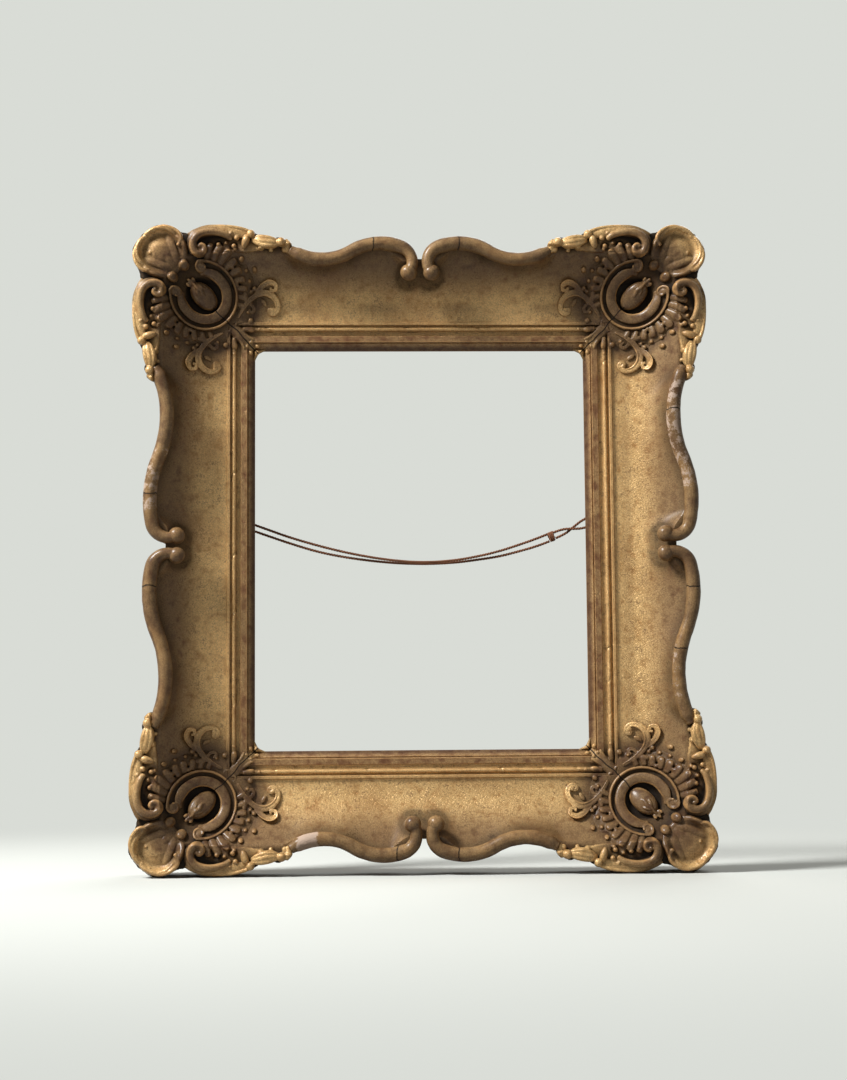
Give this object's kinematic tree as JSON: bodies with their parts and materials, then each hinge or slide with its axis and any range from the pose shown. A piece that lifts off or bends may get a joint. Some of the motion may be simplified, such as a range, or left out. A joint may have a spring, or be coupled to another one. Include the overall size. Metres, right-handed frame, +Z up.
{
  "type": "picture frame",
  "caption": "Upright gilded picture frame with deep cove, wavy carved edge, scrolled corners, a rebate at the back with turn buttons, and a slack hanging cord.",
  "frame": {"origin": "centre of the opening, in the plane of the rails' flat back, which faces the wall", "axes": "+X to the viewer's right, +Y into the wall so that the front faces -Y, +Z up"},
  "size_m": [0.4148, 0.0638, 0.4656],
  "materials": {
    "gilded_wood": "aged water gilding over red bole and gesso on softwood",
    "gilded_composition": "pressed composition, gilded, worn and dirty in its recesses",
    "bare_wood": "bare aged pine",
    "hemp_twine": "twisted brown twine",
    "steel_hardware": "tarnished steel wire and screws",
    "brass_hardware": "tarnished brass plate"
  },
  "bodies": {
    "root": {"boss_bottom_left": "gilded_composition", "boss_bottom_right": "gilded_composition", "boss_top_left": "gilded_composition", "boss_top_right": "gilded_composition", "button_screws": "steel_hardware", "cartouche_bottom_left": "gilded_composition", "cartouche_bottom_right": "gilded_composition", "cartouche_top_left": "gilded_composition", "cartouche_top_right": "gilded_composition", "cord_knot_left": "hemp_twine", "cord_knot_right": "hemp_twine", "cord_left_loop": "hemp_twine", "cord_lower_strand": "hemp_twine", "cord_right_loop": "hemp_twine", "cord_upper_strand": "hemp_twine", "ground_bottom_left": "gilded_composition", "ground_bottom_right": "gilded_composition", "ground_top_left": "gilded_composition", "ground_top_right": "gilded_composition", "links_bottom_left": "gilded_composition", "links_bottom_right": "gilded_composition", "links_top_left": "gilded_composition", "links_top_right": "gilded_composition", "mitre_keys": "bare_wood", "mitre_nails": "steel_hardware", "rail_bottom": "gilded_wood", "rail_left": "gilded_wood", "rail_right": "gilded_wood", "rail_top": "gilded_wood", "screw_eye_left": "steel_hardware", "screw_eye_right": "steel_hardware", "scrolls_bottom_left": "gilded_composition", "scrolls_bottom_right": "gilded_composition", "scrolls_top_left": "gilded_composition", "scrolls_top_right": "gilded_composition", "shell_bottom_left": "gilded_composition", "shell_bottom_right": "gilded_composition", "shell_top_left": "gilded_composition", "shell_top_right": "gilded_composition", "sight_leaf_bottom_left": "gilded_composition", "sight_leaf_bottom_right": "gilded_composition", "sight_leaf_top_left": "gilded_composition", "sight_leaf_top_right": "gilded_composition", "sprigs_bottom_left": "gilded_composition", "sprigs_bottom_right": "gilded_composition", "sprigs_top_left": "gilded_composition", "sprigs_top_right": "gilded_composition", "sweep_bottom_at_left": "gilded_composition", "sweep_bottom_at_right": "gilded_composition", "sweep_left_at_bottom": "gilded_composition", "sweep_left_at_top": "gilded_composition", "sweep_right_at_bottom": "gilded_composition", "sweep_right_at_top": "gilded_composition", "sweep_top_at_left": "gilded_composition", "sweep_top_at_right": "gilded_composition"},
    "turn_button_top": {"turn_button_top": "brass_hardware"},
    "turn_button_bottom": {"turn_button_bottom": "brass_hardware"},
    "turn_button_right": {"turn_button_right": "brass_hardware"},
    "turn_button_left": {"turn_button_left": "brass_hardware"}
  },
  "joints": [
    {"name": "turn_button_top_turn", "type": "hinge", "parent": "root", "child": "turn_button_top", "pos_m": [0, 0.0011, 0.1615], "axis": [0, 1, 0], "continuous": true},
    {"name": "turn_button_bottom_turn", "type": "hinge", "parent": "root", "child": "turn_button_bottom", "pos_m": [0, 0.0011, -0.1615], "axis": [0, 1, 0], "continuous": true},
    {"name": "turn_button_right_turn", "type": "hinge", "parent": "root", "child": "turn_button_right", "pos_m": [0.1361, 0.0011, -0.05258], "axis": [0, 1, 0], "continuous": true},
    {"name": "turn_button_left_turn", "type": "hinge", "parent": "root", "child": "turn_button_left", "pos_m": [-0.1361, 0.0011, -0.05258], "axis": [0, 1, 0], "continuous": true}
  ]
}
